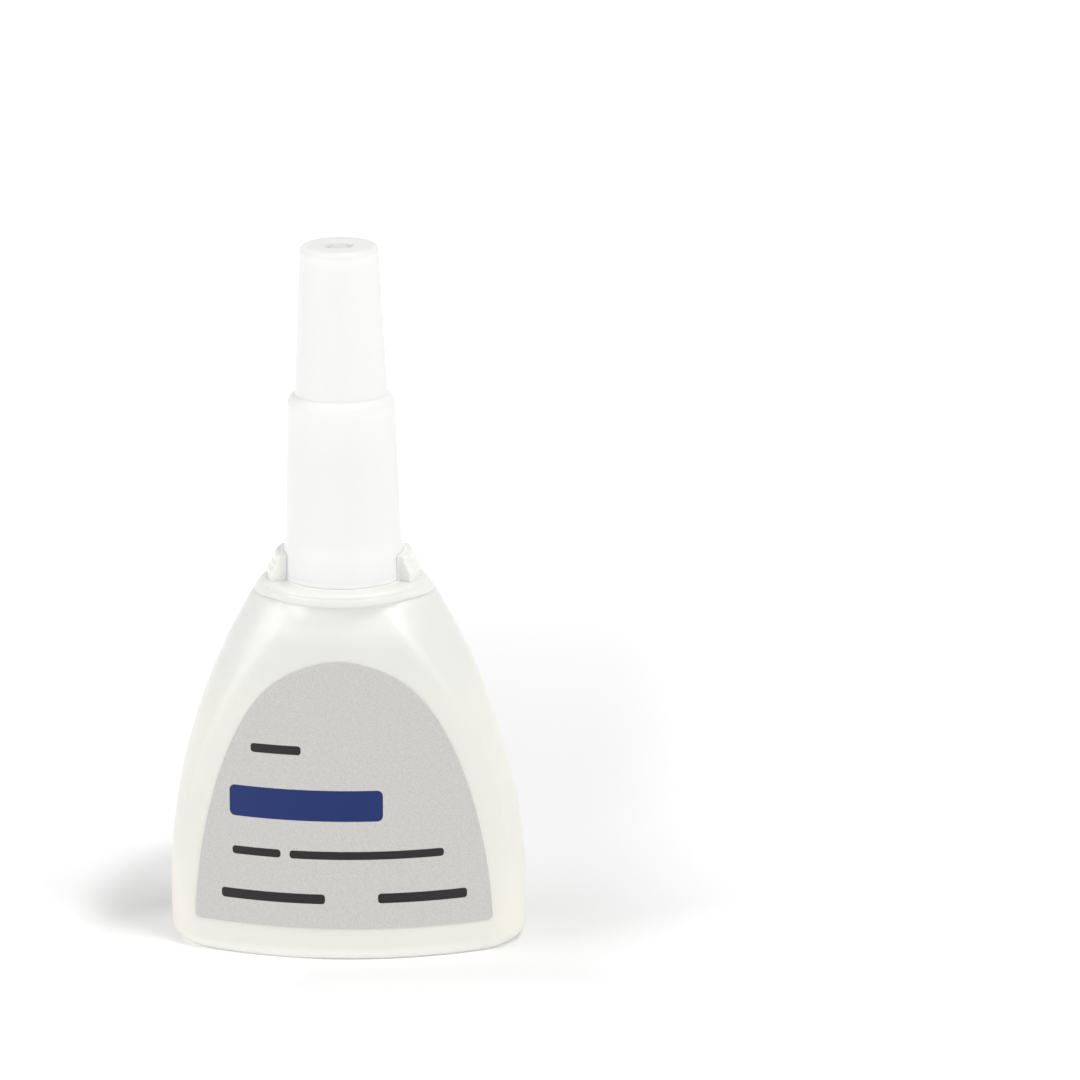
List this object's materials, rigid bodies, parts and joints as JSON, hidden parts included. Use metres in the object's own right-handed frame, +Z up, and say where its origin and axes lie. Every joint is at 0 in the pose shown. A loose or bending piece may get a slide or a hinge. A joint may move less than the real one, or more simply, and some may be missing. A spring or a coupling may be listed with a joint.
{
  "type": "glue squeeze bottle",
  "caption": "Oval squeeze bottle for thin instant adhesive, with crowned label panels, a round neck, a plug-in dropper nozzle and a tall two-stage screw cap with a sealing pin.",
  "frame": {"origin": "on the surface the bottle stands on, under the neck's axis", "axes": "+Z up along the neck's axis, -Y out of the labelled front panel, +X along the bottle's width"},
  "size_m": [0.0434, 0.023, 0.0863],
  "materials": {
    "flask": "natural translucent polyethylene, satin",
    "adhesive": "clear liquid, faintly warm",
    "nozzle": "natural polyethylene, smooth",
    "label": "silver-grey film, matte, finely grained",
    "pin": "plain steel",
    "cap": "frosted white polypropylene"
  },
  "bodies": {
    "bottle": {"flask": "flask", "adhesive_fill": "adhesive", "nozzle": "nozzle", "front_label": "label"},
    "pin": {"sealing_pin": "pin"},
    "cap": {"cap_shell": "cap"}
  },
  "joints": [
    {"name": "cap_lift", "type": "slide", "parent": "bottle", "child": "pin", "axis": [0, 0, 1], "range_m": [0, 0.042]},
    {"name": "cap_turn", "type": "hinge", "parent": "pin", "child": "cap", "pos_m": [0, 0, 0.06], "axis": [0, 0, 1], "range_deg": [0, 540]}
  ]
}
